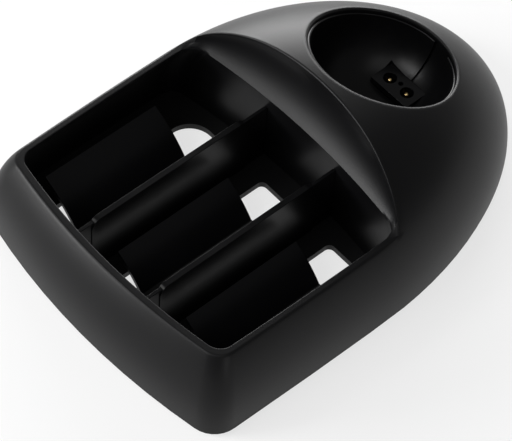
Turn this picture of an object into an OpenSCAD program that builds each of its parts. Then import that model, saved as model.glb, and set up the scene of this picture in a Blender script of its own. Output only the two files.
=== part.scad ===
// Charging stand for a hair trimmer with a comb tray, in millimetres.
// +Z is up, the front of the tray faces -Y, and Z = 0 is the table under the feet.
// Heights named below are measured from the underside of the bottom cover.

/* [Body outline] */
// Half of the widest width at the bottom edge
half_w = 55.8; // [48:0.1:64]
// Place of the widest line along Y
wide_y = -8; // [-14:0.1:-2]
// Length from the widest line to the tip of the nose
back_len = 90.8; // [80:0.1:100]
// Foremost point of the bottom edge
front_y = -82.6; // [-90:0.1:-76]
// Radius of the bowed front edge
front_r = 247; // [180:1:400]
// Radius of the two front corners at the bottom
corner_r = 9.5; // [7.5:0.5:14]
// How much of that radius is lost for each millimetre of lean
corner_loss = 0.5; // [0.3:0.05:0.6]
// How much each side draws in from the widest line to the front corner
side_in = 0.8; // [0:0.1:3]
// Extra lean of the front wall against the side walls
front_flare = 0.15; // [0:0.01:0.3]

/* [Dome] */
// Height at which the dome would close
crown_h = 51.7; // [46:0.1:56]
// Fullness of the side walls, smaller is squarer
side_power = 0.37; // [0.32:0.01:0.42]
// What the nose adds to that power, which slopes it more
nose_power = 0.18; // [0:0.01:0.3]
// Thickness of the housing wall
wall_t = 1.7; // [1.4:0.1:2.4]
// Height of the tray rim
rim_z = 30; // [27:0.5:33]
// Foot of the crescent face on the centre line
face_y0 = 5; // [2:0.5:9]
// Bow of the crescent face, in millimetres per square millimetre
face_bow = 0.00188; // [0.0008:0.0001:0.003]
// Lean of the crescent face towards the back
face_lean = 0.25; // [0.15:0.01:0.32]
// Radius of the fillet in the two back corners of the tray
fillet_r = 5; // [2:0.5:6]

/* [Tray] */
// Distance from the centre line to each divider
div_x = 15.7; // [13:0.1:17]
// Thickness of a divider blade
div_t = 2; // [1.4:0.1:2.8]
// Height of the divider blades
div_z = 26.4; // [22:0.1:28]
// Front end of a blade
div_y0 = -65.7; // [-68:0.1:-60]
// Back end of a blade
div_y1 = -3.7; // [-8:0.1:-2]
// Radius of the upper blade corners
div_r = 3.5; // [2:0.1:5]
// Thickness of the web that ties a blade to the walls
web_t = 1.2; // [0.8:0.1:1.6]
// Height of that web
web_z = 25.6; // [20:0.1:25.8]
// Thickness of the wall between the tray and the dome
back_t = 1.8; // [1.4:0.1:2.4]
// Gap between a tray piece and the housing
tray_gap = 0.3; // [0.2:0.05:0.5]

/* [Comb ramps] */
// Radius of the curved plate
ramp_r = 40; // [34:1:50]
// Thickness of the plate
ramp_t = 1.6; // [1.2:0.1:2]
// Distance from a divider to the free edge of the next plate
ramp_in = 5.9; // [5:0.1:7]
// Height of the free edge
ramp_z = 12.5; // [10:0.1:14]
// How far the plate reaches sideways
ramp_w = 11.6; // [10:0.1:13]
// How much farther the left plate runs up
ramp_more = 3.5; // [0:0.1:5]
// Front end of the plates
ramp_y0 = -59.7; // [-62:0.1:-56]
// Back end of the plates
ramp_y1 = -15.4; // [-18:0.1:-12]

/* [Bottom cover] */
// Thickness of the cover
cover_t = 2.4; // [2:0.1:3]
// Reveal between the edge of the cover and the wall above it
cover_in = 0.5; // [0.2:0.1:1]
// Distance from a divider to the left edge of its floor opening
open_in = 8.2; // [7.6:0.1:9.5]
// Width of a floor opening
open_w = 21.4; // [20:0.1:22]
// Front end of the floor openings
open_y0 = -71; // [-73:0.1:-69]
// Back end of the floor openings
open_y1 = -2.6; // [-5:0.1:-1]
// Corner radius of the floor openings
open_r = 2; // [1:0.1:2.4]
// Large radius at the back corner of the left opening
open_big_r = 8.4; // [5:0.1:9]
// How much farther the left opening reaches to the left
open_more = 2; // [0:0.1:2.5]
// Diameter of a rubber foot
foot_d = 8; // [6:0.5:9]
// Height of a foot under the cover
foot_h = 1; // [0.8:0.1:1.6]
// Depth of the pocket that holds a foot
foot_pocket = 0.6; // [0.4:0.1:1]

/* [Charging well] */
// Centre of the well along Y
well_y = 37.7; // [36:0.1:39]
// Radius of the opening in the dome
well_r = 23.4; // [21:0.1:24]
// Inner radius of the cup
cup_r = 22.7; // [20:0.1:22.9]
// Thickness of the cup
cup_t = 1.8; // [1.4:0.1:2.2]
// Radius of the rounded bottom of the cup
bowl_r = 17.6; // [17:0.1:20]
// Height where the straight cup wall turns into the bowl
bowl_z = 33; // [32:0.5:36]
// Gap between the cup and the shell above it
cup_gap = 0.15; // [0.1:0.05:0.3]
// Width of the guide groove that runs down to the block
guide_w = 7.4; // [5:0.1:7.4]
// Distance from the centre line to the left side of the groove
guide_x = 0.9; // [0:0.1:2]
// Depth of the groove
guide_d = 0.9; // [0.5:0.1:1]

/* [Contacts] */
// Width of the contact block
block_w = 16.2; // [14:0.1:18]
// Depth of the block along Y
block_l = 8.8; // [8:0.1:10]
// Middle of the block along Y
block_y = 47; // [46:0.1:48]
// Height of the top of the block
block_z = 18; // [17:0.1:19.5]
// Height of the underside of the block
block_z0 = 8; // [7:0.1:10]
// Gap between the block and the cup
block_gap = 0.15; // [0.1:0.05:0.3]
// Distance between the two contact pins
pin_pitch = 7.7; // [7:0.1:8.5]
// Diameter of a contact pin
pin_d = 1.9; // [1.5:0.1:2.2]
// Diameter of the collar at the foot of a pin
collar_d = 2.8; // [2.4:0.1:3.2]
// Diameter of the recess round a pin
recess_d = 4.4; // [3.8:0.1:5]
// Depth of that recess
recess_h = 5; // [3:0.1:6]
// How far the tip of a pin stays under the top of the block
pin_low = 0.3; // [0:0.1:1]
// Diameter of the tail of a pin
tail_d = 1.4; // [1:0.1:1.6]

/* [Inlet] */
// Height of the inlet axis
inlet_z = 9.4; // [9.2:0.1:10.5]
// Diameter of the inlet barrel
inlet_d = 8; // [7:0.1:9]
// Diameter of its flange
flange_d = 11.6; // [10:0.1:12.4]
// Diameter of the plug bore
plug_d = 5.7; // [5:0.1:6]
// Diameter of the centre pin
centre_d = 2; // [1.6:0.1:2.5]
// Depth of the plug bore
plug_depth = 9; // [8:0.1:10]
// Length of the barrel
barrel_l = 13.2; // [12.5:0.1:15]
// Distance from its mouth to the wall side of the flange
flange_in = 4.2; // [3.5:0.1:5]

/* [Fasteners] */
// Diameter of a screw shank
screw_d = 2.6; // [2:0.1:3]
// Diameter of a screw head
head_d = 5.2; // [4.5:0.1:6]
// Height of a screw head
head_h = 1.5; // [1.2:0.1:2]
// Length of a screw under its head
screw_l = 10; // [8:0.5:12]
// Diameter of a screw post
post_d = 6.4; // [5.5:0.1:7]
// Height of the top of the posts
post_z = 15; // [13.5:0.5:17]

/* [Hidden] */
$fn = 48;
dark = [0.09, 0.09, 0.10];
gloss = [0.05, 0.05, 0.06];
under = [0.13, 0.13, 0.14];
metal = [0.80, 0.66, 0.36];
steel = [0.62, 0.63, 0.65];
pitch = 2 * div_x;
eps = 0.02;

nr = 40;
nc = 16;

// Share of the plan that is left at height z, for a wall moved in by k
function rho(z, s2, k) =
    sqrt(1 - pow(z / (crown_h - k), 1 / (side_power + nose_power * s2)));

// Point of the rear wall at angle t from +X
function rear(t, z, k) =
    let(r = rho(z, sin(t) * sin(t), k))
    [(half_w - k) * r * cos(t), wide_y + (back_len - k) * r * sin(t), z];

// The crescent face, upright below the rim
function face_y(x, z, k) =
    face_y0 - face_bow * x * x + face_lean * max(z - rim_z, 0) + k;

// Angle at which the rear wall meets the crescent face, by halving
function end_t(z, k, a = 0, b = 90, n = 16) =
    n == 0 ? (a + b) / 2 :
    let(t = (a + b) / 2, p = rear(t, z, k))
    p[1] < face_y(p[0], z, k) ? end_t(z, k, t, b, n - 1) : end_t(z, k, a, t, n - 1);

function rear_arc(z, k) =
    let(t = end_t(z, k))
    [for (i = [0 : nr]) rear(t + (180 - 2 * t) * i / nr, z, k)];

// Lean of the walls at height z, measured in from the bottom edge
function lean(z, k) = half_w - (half_w - k) * rho(z, 0, k);

// Right side, front corner and half of the bowed front, moved in by d
function right_half(d) =
    let(r = corner_r - corner_loss * d)
    let(f = front_y + (1 + front_flare) * d, w = half_w - side_in - d - r)
    let(y = f + front_r - sqrt(pow(front_r - r, 2) - w * w), a = asin(w / (front_r - r)))
    concat(
        [for (u = [0.1, 0.5, 0.9]) [half_w - d - side_in * u * u, wide_y + (y - wide_y) * u]],
        [for (i = [0 : 7]) let(b = -i * (90 - a) / 7) [w + r * cos(b), y + r * sin(b)]],
        [for (i = [1 : 5]) let(b = a - i * a / 5)
            [front_r * sin(b), f + front_r - front_r * cos(b)]]);

nf = 31;

function front_ring(z, k) =
    let(p = right_half(lean(z, k)), n = len(p))
    concat(
        [for (q = p) [-q[0], q[1], z]],
        [for (i = [n - 2 : -1 : 0]) [p[i][0], p[i][1], z]]);

function low_ring(z, k) = concat(rear_arc(z, k), front_ring(z, k));

function face_line(z, k) =
    let(x = rear(end_t(z, k), z, k)[0])
    [for (j = [1 : nc - 1]) let(u = x * sin(180 * j / nc - 90)) [u, face_y(u, z, k), z]];

function high_ring(z, k) = concat(rear_arc(z, k), face_line(z, k));

function quad(a, b, c, d) = [[a, d, c], [a, c, b]];

// Closed solid of the whole form, moved in by k, with open-tray rings and dome rings
module form(k, low, high) {
    nl = len(low);
    nh = len(high);
    m = nr + 1 + nf;
    mh = nr + nc;
    c0 = nl * m;
    h0 = c0 + nc - 1;
    function hi(l, i) = l > 0 ? h0 + (l - 1) * mh + i : i > nr ? c0 + i - nr - 1 : (nl - 1) * m + i;
    points = concat(
        [for (z = low) each low_ring(z, k)],
        face_line(low[nl - 1], k),
        [for (z = high) each high_ring(z, k)]);
    faces = concat(
        [[for (i = [0 : m - 1]) i]],
        [for (l = [0 : nl - 2], i = [0 : m - 1]) let(j = (i + 1) % m)
            each quad(l * m + i, l * m + j, (l + 1) * m + j, (l + 1) * m + i)],
        [concat(
            [for (j = [1 : nc - 1]) c0 + j - 1],
            [(nl - 1) * m],
            [for (i = [m - 1 : -1 : nr]) (nl - 1) * m + i])],
        [for (l = [0 : nh - 1], i = [0 : mh - 1]) let(j = (i + 1) % mh)
            each quad(hi(l, i), hi(l, j), hi(l + 1, j), hi(l + 1, i))],
        [[for (i = [mh - 1 : -1 : 0]) hi(nh, i)]]);
    polyhedron(points, faces, convexity = 8);
}

low_out = [for (u = [0, 0.24, 0.42, 0.565, 0.69, 0.8, 0.905, 1]) cover_t + (rim_z - cover_t) * u];
high_out = [for (u = [0.14, 0.29, 0.44, 0.58, 0.71, 0.82, 0.91, 0.965]) rim_z + (crown_h - 1 - rim_z) * u];
low_in = [for (u = [0, 0.26, 0.465, 0.64, 0.775, 0.9, 1]) cover_t - 1 + (rim_z + 1.5 - cover_t) * u];
high_in = [for (u = [0.17, 0.36, 0.55, 0.73, 0.88]) rim_z + (crown_h - wall_t - 1 - rim_z) * u];

// Inner side of the front wall in the plane x, with a gap
function front_in(x, z, gap) =
    front_y + front_r - sqrt(front_r * front_r - x * x)
    + lean(z, wall_t) * (1 + front_flare) + gap;

// Half-width between the inner side walls at the back of the tray, with a gap
function side_in_x(z, gap) =
    (half_w - wall_t) * sqrt(pow(rho(z, 0, wall_t), 2) - pow(11 / back_len, 2)) - gap;

// Outer half-width of the rear body at y and height z
function rear_x(y, z) =
    let(v = pow((y - wide_y) / back_len, 2))
    half_w * sqrt(pow(rho(z, v, 0), 2) - v);

// Rows of the inner pieces, from the cover up to a height
function rows(top) = [for (u = [0, 0.2, 0.38, 0.55, 0.69, 0.82, 0.92, 1]) cover_t + (top - cover_t) * u];

// Place at shares of the half-width and of the length behind the widest line
function place(x, y) = [x * half_w, wide_y + y * back_len];

posts = [place(-0.735, 0.352), place(0.735, 0.352), place(-0.484, 0.727), place(0.484, 0.727)];
foot_at = [place(-0.896, -0.463), place(0.896, -0.463), place(-0.681, 0.496), place(0.681, 0.496)];
tray_w = side_in_x(rim_z, tray_gap);
tip_z = block_z - pin_low;
seat_z = block_z - recess_h;
inlet_y = wide_y + back_len * rho(inlet_z + inlet_d / 2, 1, 0) - 0.6;
flange_y = inlet_y - flange_in;
barrel_y = inlet_y - barrel_l;
lug_z = block_z0 - 3;
lug_l = 9;

// Everything is built on the underside of the cover and stands on its feet
module lift() {
    translate([0, 0, foot_h]) children();
}

module mirror_pair() {
    children();
    mirror([1, 0, 0]) children();
}

// Satin shell: sides, rim, crescent and dome, with posts for the screws inside
module housing() {
    color(dark) lift() difference() {
        union() {
            difference() {
                form(0, low_out, high_out);
                form(wall_t, low_in, high_in);
                translate([0, well_y, bowl_z - 12]) cylinder(h = crown_h, r = well_r, $fn = 96);
            }
            for (p = posts) screw_post(p[0], p[1]);
            mirror_pair() corner_fill();
        }
        for (p = posts)
            translate([p[0], p[1], cover_t]) cylinder(h = screw_l + 1, d = screw_d + 0.1, $fn = 24);
        translate([0, flange_y, inlet_z]) rotate([-90, 0, 0])
            cylinder(h = 20, d = inlet_d + 0.2, $fn = 48);
    }
}

// A post stands free over the cover and a rib ties it to the side wall
module screw_post(x, y) {
    z0 = cover_t + 2.1;
    heights = [for (u = [0, 0.33, 0.7, 1]) z0 + (post_z - z0) * u];
    translate([x, y, z0]) cylinder(h = post_z - z0, d = post_d, $fn = 32);
    mirror([x < 0 ? 1 : 0, 0, 0]) translate([0, y + 0.9, 0]) rotate([90, 0, 0])
        linear_extrude(1.8) polygon(concat(
            [[abs(x), post_z], [abs(x), z0]],
            [for (z = heights) [rear_x(y, z) - wall_t * 0.6, z]]));
}

// Fills the right back corner of the tray behind a fillet, up to the rim
module corner_fill() {
    x0 = tray_w - fillet_r;
    y0 = face_y(x0, 0, 0) - 0.1 - fillet_r;
    intersection() {
        translate([0, 0, cover_t + 0.2]) linear_extrude(rim_z - cover_t - 0.2) difference() {
            polygon(concat(
                [[x0, y0], [half_w, y0]],
                [for (i = [6 : -1 : 0]) let(x = x0 + (half_w - x0) * i / 6)
                    [x, face_y(x, 0, 0) - 0.1]]));
            translate([x0, y0]) circle(r = fillet_r);
        }
        form(wall_t * 0.6, low_in, high_in);
    }
}

// Wall that closes the tray under the crescent
module back_wall() {
    top = rim_z + 0.1;
    heights = rows(top);
    row = [for (i = [-12 : 12]) half_w * i / 12];
    color(gloss) lift() intersection() {
        linear_extrude(top) polygon(concat(
            [for (x = row) [x, face_y(x, 0, 0) + eps]],
            [for (i = [24 : -1 : 0]) [row[i], face_y(row[i], 0, 0) + back_t]]));
        translate([0, half_w, 0]) rotate([90, 0, 0]) linear_extrude(2 * half_w) polygon(concat(
            [for (z = heights) [side_in_x(z, tray_gap), z]],
            [for (i = [len(heights) - 1 : -1 : 0]) [-side_in_x(heights[i], tray_gap), heights[i]]]));
    }
}

// Blade with rounded shoulders on a thinner web that reaches both walls
module divider(x) {
    heights = rows(web_z);
    back = face_y0 - face_bow * pow(abs(x) + web_t / 2, 2) - 0.02;
    color(gloss) lift() union() {
        translate([x - div_t / 2, 0, 0]) yz_plate(div_t) {
            translate([div_y0, cover_t]) square([div_y1 - div_y0, div_z - div_r - cover_t]);
            translate([div_y0 + div_r, cover_t]) square([div_y1 - div_y0 - 2 * div_r, div_z - cover_t]);
            for (y = [div_y0 + div_r, div_y1 - div_r]) translate([y, div_z - div_r]) circle(r = div_r);
        }
        translate([x - web_t / 2, 0, 0]) yz_plate(web_t) polygon(concat(
            [[back, cover_t], [back, web_z]],
            [for (i = [len(heights) - 1 : -1 : 0])
                [front_in(abs(x) + web_t / 2, heights[i], tray_gap), heights[i]]]));
    }
}

// Turns a drawing in Y and Z into a plate of thickness t along X
module yz_plate(t) {
    rotate([90, 0, 90]) linear_extrude(t) children();
}

module divider_left() {
    divider(-div_x);
}

module divider_right() {
    divider(div_x);
}

// Curved plate to the right of x that falls from its free edge to the floor
module comb_ramp(x, more) {
    drop = ramp_z - cover_t;
    half = sqrt(ramp_w * ramp_w + drop * drop) / 2;
    back = sqrt(ramp_r * ramp_r - half * half);
    mid_x = x + ramp_in + ramp_w / 2;
    mid_z = cover_t + drop / 2;
    cx = mid_x - back * drop / (2 * half);
    cz = mid_z - back * ramp_w / (2 * half);
    color(under) lift() translate([0, ramp_y1, 0]) rotate([90, 0, 0])
        linear_extrude(ramp_y1 - ramp_y0) intersection() {
            difference() {
                translate([cx, cz]) circle(r = ramp_r, $fn = 144);
                translate([cx, cz]) circle(r = ramp_r - ramp_t, $fn = 144);
            }
            translate([x + ramp_in - more, cover_t]) square([ramp_w + more + 1, rim_z]);
        }
}

module comb_ramp_left() {
    comb_ramp(-div_x - pitch, ramp_more);
}

module comb_ramp_middle() {
    comb_ramp(-div_x, 0);
}

module comb_ramp_right() {
    comb_ramp(div_x, 0);
}

// Rounded rectangle between two corners
module window(x0, y0, x1, y1, r, big) {
    translate([x0 + r, y0]) square([x1 - x0 - 2 * r, y1 - y0]);
    translate([x0, y0 + r]) square([r + eps, y1 - big - y0 - r]);
    translate([x1 - r - eps, y0 + r]) square([r + eps, y1 - y0 - 2 * r]);
    for (p = [[x0 + r, y0 + r], [x1 - r, y0 + r], [x1 - r, y1 - r]]) translate(p) circle(r = r);
    intersection() {
        translate([x0 + big, y1 - big]) circle(r = big);
        translate([x0, y1 - big]) square(big);
    }
}

// One floor opening: a window behind the ramp, a window before it and a slot between them
module floor_opening(x, big, more) {
    x0 = x + open_in - more;
    x1 = x + open_in + open_w;
    slot = ramp_in + ramp_w - open_in - 3 + more;
    difference() {
        window(x0, ramp_y1, x1, open_y1, open_r, big);
        if (big > open_r) difference() {
            translate([x0 - 1, open_y1 - big]) square([big + 1, big + 1]);
            translate([x0 + big, open_y1 - big]) circle(r = big);
        }
    }
    window(x0, open_y0, x1, ramp_y0, open_r, open_r);
    translate([x0, ramp_y0 - open_r - 1]) square([slot, ramp_y1 - ramp_y0 + 2 * open_r + 2]);
}

// Flat cover that closes the stand from below and is the floor of the tray
module bottom_cover() {
    ring = low_ring(0, cover_in);
    color(under) lift() difference() {
        union() {
            linear_extrude(cover_t) polygon([for (p = ring) [p[0], p[1]]]);
            for (p = posts) translate([p[0], p[1], 0]) cylinder(h = cover_t + 2, d = post_d + 2, $fn = 32);
        }
        translate([0, 0, -1]) linear_extrude(cover_t + 2) {
            floor_opening(-div_x - pitch, open_big_r, open_more);
            floor_opening(-div_x, open_r, 0);
            floor_opening(div_x, open_r, 0);
        }
        for (p = posts) translate([p[0], p[1], 0]) {
            translate([0, 0, -1]) cylinder(h = cover_t + 5, d = screw_d + 0.6, $fn = 24);
            translate([0, 0, -1]) cylinder(h = 1 + head_h + 0.5, d = head_d + 0.6, $fn = 32);
        }
        for (p = foot_at) translate([p[0], p[1], -1])
            cylinder(h = 1 + foot_pocket, d = foot_d, $fn = 40);
    }
}

// Rubber foot glued into its pocket
module foot(i) {
    color([0.2, 0.2, 0.2]) translate([foot_at[i][0], foot_at[i][1], 0])
        cylinder(h = foot_h + foot_pocket, d = foot_d, $fn = 40);
}

module foot_front_left() {
    foot(0);
}

module foot_front_right() {
    foot(1);
}

module foot_back_left() {
    foot(2);
}

module foot_back_right() {
    foot(3);
}

// Pan-head screw driven up from below, with a cross slot
module screw(i) {
    color(steel) lift() translate([posts[i][0], posts[i][1], 0.5]) difference() {
        union() {
            cylinder(h = head_h, d = head_d, $fn = 32);
            translate([0, 0, head_h - eps]) cylinder(h = screw_l, d = screw_d, $fn = 24);
        }
        for (a = [0, 90]) rotate(a) translate([-1.5, -0.3, -1]) cube([3, 0.6, 1.8]);
    }
}

module screw_front_left() {
    screw(0);
}

module screw_front_right() {
    screw(1);
}

module screw_back_left() {
    screw(2);
}

module screw_back_right() {
    screw(3);
}

// Half section of the hollow of the cup, grown by more, from the axis or past it
module cup_section(more, past) {
    bx = cup_r - bowl_r;
    translate([-past, bowl_z]) square([cup_r + more + past, crown_h]);
    intersection() {
        union() {
            translate([bx, bowl_z]) circle(r = bowl_r + more, $fn = 96);
            translate([-past, bowl_z - bowl_r - more]) square([bx + past, bowl_r + more + eps]);
        }
        translate([-past, 0]) square([cup_r + more + past, bowl_z + eps]);
    }
}

// Turned bowl under the opening of the dome, with a guide groove, trimmed to the inside of the shell
module well_cup() {
    color(gloss) lift() difference() {
        intersection() {
            translate([0, well_y, 0]) rotate_extrude($fn = 96) difference() {
                cup_section(cup_t, 0);
                cup_section(0, 1);
            }
            form(wall_t + cup_gap, low_in, high_in);
        }
        translate([-block_w / 2 - block_gap, block_y - block_l / 2 - block_gap, 0])
            cube([block_w + 2 * block_gap, block_l + 2 * block_gap, bowl_z]);
        intersection() {
            translate([0, well_y, 0]) rotate_extrude($fn = 96) cup_section(guide_d, 0);
            translate([guide_x, block_y, 0]) cube([guide_w, 2 * well_r, crown_h]);
        }
    }
}

// Black block in the floor of the well, with a recess for each pin and a key hole
module contact_block() {
    color(gloss) lift() difference() {
        translate([-block_w / 2, block_y - block_l / 2, block_z0])
            cube([block_w, block_l, block_z - block_z0]);
        for (s = [-1, 1]) translate([s * pin_pitch / 2, block_y, 0]) {
            translate([0, 0, seat_z]) cylinder(h = recess_h + 1, d = recess_d);
            cylinder(h = block_z, d = tail_d);
        }
        translate([0, block_y + 1, block_z - 2]) cylinder(h = 3, d = 1.6, $fn = 24);
    }
}

// Turned pin with a collar in its recess, a round tip and a tail through the block
module contact_pin(s) {
    r = pin_d / 2;
    tail = seat_z - lug_z + 1.2;
    color(metal) lift() translate([s * pin_pitch / 2, block_y, seat_z]) {
        rotate_extrude() union() {
            translate([0, -tail]) square([tail_d / 2, tail + eps]);
            square([collar_d / 2, 0.8]);
            square([r, tip_z - seat_z - r]);
            intersection() {
                translate([0, tip_z - seat_z - r]) circle(r = r);
                translate([0, 0]) square([r, tip_z]);
            }
        }
    }
}

module contact_pin_left() {
    contact_pin(-1);
}

module contact_pin_right() {
    contact_pin(1);
}

// Flat lug on the tail of a pin, with a barrel that holds the lead
module lug(s) {
    color(steel) lift() translate([s * pin_pitch / 2, block_y, lug_z]) difference() {
        union() {
            cylinder(h = 0.8, d = 4.4);
            translate([-1.2, 0, 0]) cube([2.4, lug_l - 3, 0.8]);
            translate([0, lug_l - 4, 1]) rotate([-90, 0, 0]) cylinder(h = 4, d = 2.8);
        }
        translate([0, 0, -1]) cylinder(h = 3, d = tail_d);
        translate([0, lug_l - 5, 1]) rotate([-90, 0, 0]) cylinder(h = 6, d = 1.6);
    }
}

module lug_left() {
    lug(-1);
}

module lug_right() {
    lug(1);
}

// Insulated lead from the lug to the terminal of the inlet
module lead(s, tint) {
    y0 = block_y + lug_l;
    color(tint) lift() translate([s * pin_pitch / 2, y0, lug_z + 1]) rotate([-90, 0, 0])
        cylinder(h = barrel_y - y0, d = 1.8, $fn = 24);
}

module lead_left() {
    lead(-1, [0.6, 0.1, 0.1]);
}

module lead_right() {
    lead(1, [0.12, 0.12, 0.12]);
}

// Low-voltage socket in the nose, held by a flange behind the wall
module inlet_socket() {
    color(gloss) lift() difference() {
        union() {
            translate([0, barrel_y, inlet_z]) rotate([-90, 0, 0]) cylinder(h = barrel_l, d = inlet_d);
            translate([0, flange_y - 1.6, inlet_z]) rotate([-90, 0, 0]) cylinder(h = 1.6, d = flange_d);
        }
        translate([0, inlet_y - plug_depth, inlet_z]) rotate([-90, 0, 0])
            cylinder(h = plug_depth + 1, d = plug_d);
        translate([0, barrel_y - 1, inlet_z]) rotate([-90, 0, 0]) cylinder(h = 8, d = centre_d * 0.5);
        translate([-inlet_d, barrel_y - 1, lug_z - 3]) cube([2 * inlet_d, 5, 5.2]);
    }
}

// Centre pin of the socket
module inlet_pin() {
    y0 = inlet_y - plug_depth;
    color(metal) lift() translate([0, y0, inlet_z]) rotate([-90, 0, 0])
        cylinder(h = plug_depth - 1, d = centre_d);
}

housing();
back_wall();
divider_left();
divider_right();
comb_ramp_left();
comb_ramp_middle();
comb_ramp_right();
bottom_cover();
well_cup();
contact_block();
contact_pin_left();
contact_pin_right();
lug_left();
lug_right();
lead_left();
lead_right();
inlet_socket();
inlet_pin();
screw_front_left();
screw_front_right();
screw_back_left();
screw_back_right();
foot_front_left();
foot_front_right();
foot_back_left();
foot_back_right();
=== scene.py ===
import math

import bmesh
import bpy
import numpy as np
from mathutils import Matrix, Vector


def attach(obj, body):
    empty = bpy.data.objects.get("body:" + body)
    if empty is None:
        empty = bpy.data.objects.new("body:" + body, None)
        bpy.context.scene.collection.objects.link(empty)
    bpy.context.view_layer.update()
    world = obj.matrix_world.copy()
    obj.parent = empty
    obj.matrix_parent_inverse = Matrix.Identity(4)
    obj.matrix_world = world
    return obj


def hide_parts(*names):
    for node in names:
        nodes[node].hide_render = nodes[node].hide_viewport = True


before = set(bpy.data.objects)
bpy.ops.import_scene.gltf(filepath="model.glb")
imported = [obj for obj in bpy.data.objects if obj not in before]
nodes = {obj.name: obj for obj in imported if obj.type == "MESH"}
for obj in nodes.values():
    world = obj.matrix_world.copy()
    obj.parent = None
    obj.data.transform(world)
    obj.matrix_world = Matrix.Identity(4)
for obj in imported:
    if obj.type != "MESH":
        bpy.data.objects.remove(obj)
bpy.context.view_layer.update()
print("frame loaded:", len(nodes), "nodes")


class Wire:
    # one value in a node tree: arithmetic on it adds Math nodes
    def __init__(self, tree, socket):
        self.tree, self.socket = tree, socket

    def math(self, operation, *values, clamp=False):
        node = self.tree.nodes.new("ShaderNodeMath")
        node.operation, node.use_clamp = operation, clamp
        for slot, value in zip(node.inputs, values):
            if isinstance(value, Wire):
                self.tree.links.new(value.socket, slot)
            else:
                slot.default_value = value
        return Wire(self.tree, node.outputs[0])

    def __add__(self, other):
        return self.math("ADD", self, other)

    def __sub__(self, other):
        return self.math("SUBTRACT", self, other)

    def __rsub__(self, other):
        return self.math("SUBTRACT", other, self)

    def __mul__(self, other):
        return self.math("MULTIPLY", self, other)

    def __truediv__(self, other):
        return self.math("DIVIDE", self, other)

    def __rtruediv__(self, other):
        return self.math("DIVIDE", other, self)

    __radd__ = __add__
    __rmul__ = __mul__

    def clamped(self):
        return self.math("ADD", self, 0.0, clamp=True)


class Finish:
    # one material: fixed values go straight onto the shader, wires only where the finish varies
    def __init__(self, name, **fixed):
        self.material = bpy.data.materials.new(name)
        self.material.use_nodes = True
        self.tree = self.material.node_tree
        self.shader = self.tree.nodes["Principled BSDF"]
        for key, value in fixed.items():
            self.shader.inputs[key.replace("_", " ")].default_value = value
        self.place = self.node("ShaderNodeTexCoord").outputs["Object"]

    def node(self, kind, settings=None, inputs=None):
        # any node: its type, its settings, which are set first, and its sockets' values or links
        node = self.tree.nodes.new(kind)
        for key, value in (settings or {}).items():
            setattr(node, key, value)
        for key, value in (inputs or {}).items():
            self.join(value, node.inputs[key])
        return node

    def join(self, value, slot):
        if isinstance(value, Wire):
            self.tree.links.new(value.socket, slot)
        elif isinstance(value, bpy.types.NodeSocket):
            self.tree.links.new(value, slot)
        else:
            slot.default_value = value

    def wire(self, node, output=0):
        return Wire(self.tree, node.outputs[output])

    def turned(self, rotation=(0, 0, 0), scale=(1, 1, 1)):
        # the object's own coordinates, turned and scaled
        inputs = {"Vector": self.place, "Rotation": rotation, "Scale": scale}
        return self.node("ShaderNodeMapping", inputs=inputs).outputs[0]

    def noise(self, scale, detail=3.0, rough=0.55, place=None):
        inputs = {"Vector": place or self.place, "Scale": scale, "Detail": detail, "Roughness": rough}
        return self.wire(self.node("ShaderNodeTexNoise", inputs=inputs))

    def between(self, value, low, high):
        # 0 at low and 1 at high, straight in between and level beyond
        return ((value - low) / (high - low)).clamped()

    def scratches(self, scale, turn, width):
        # hairlines where noise that is drawn out along one direction crosses its middle value
        line = self.noise(scale, 1.0, 0.5, self.turned(turn, (1, 0.05, 1)))
        return 1.0 - self.between(line.math("ABSOLUTE", line - 0.5), 0.0, width)

    def specks(self, scale, size):
        # grains of dust: the middles of a few cells, most cells stay empty
        cell = self.node("ShaderNodeTexVoronoi", inputs={"Vector": self.place, "Scale": scale})
        grain = 1.0 - self.between(self.wire(cell), size * 0.6, size)
        colour = self.node("ShaderNodeSeparateColor", inputs={"Color": cell.outputs["Color"]})
        lucky = self.wire(colour)
        return grain * lucky.math("GREATER_THAN", lucky, 0.8)

    def colour(self, factor, dark, light):
        mix = self.node("ShaderNodeMix", {"data_type": "RGBA"})
        self.join(factor, mix.inputs["Factor"])
        self.join((*dark, 1), mix.inputs[6])
        self.join((*light, 1), mix.inputs[7])
        return mix.outputs[2]

    def bump(self, height, strength, distance):
        inputs = {"Height": height, "Strength": strength, "Distance": distance}
        return self.node("ShaderNodeBump", inputs=inputs).outputs[0]

    def set(self, **inputs):
        for key, value in inputs.items():
            self.join(value, self.shader.inputs[key.replace("_", " ")])
        return self.material


def newMesh(name, points, faces):
    # points in millimetres over the table, faces as rows of vertex numbers
    mesh = bpy.data.meshes.new(name)
    mesh.from_pydata((np.asarray(points, float) * 0.001).tolist(), [], [list(f) for f in faces])
    mesh.validate()
    mesh.polygons.foreach_set("use_smooth", np.ones(len(mesh.polygons), bool))
    mesh.update()
    piece = bpy.data.objects.new(name, mesh)
    bpy.context.scene.collection.objects.link(piece)
    return piece


def gridFaces(rows, cols, start=0, closed=False):
    # quads between neighbouring rows and columns of a grid of vertices
    i, j = np.meshgrid(np.arange(rows - 1), np.arange(cols if closed else cols - 1), indexing="ij")
    k = (j + 1) % cols
    a = start + i * cols + j
    b = start + i * cols + k
    return np.stack([a, b, b + cols, a + cols], -1).reshape(-1, 4)


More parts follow.
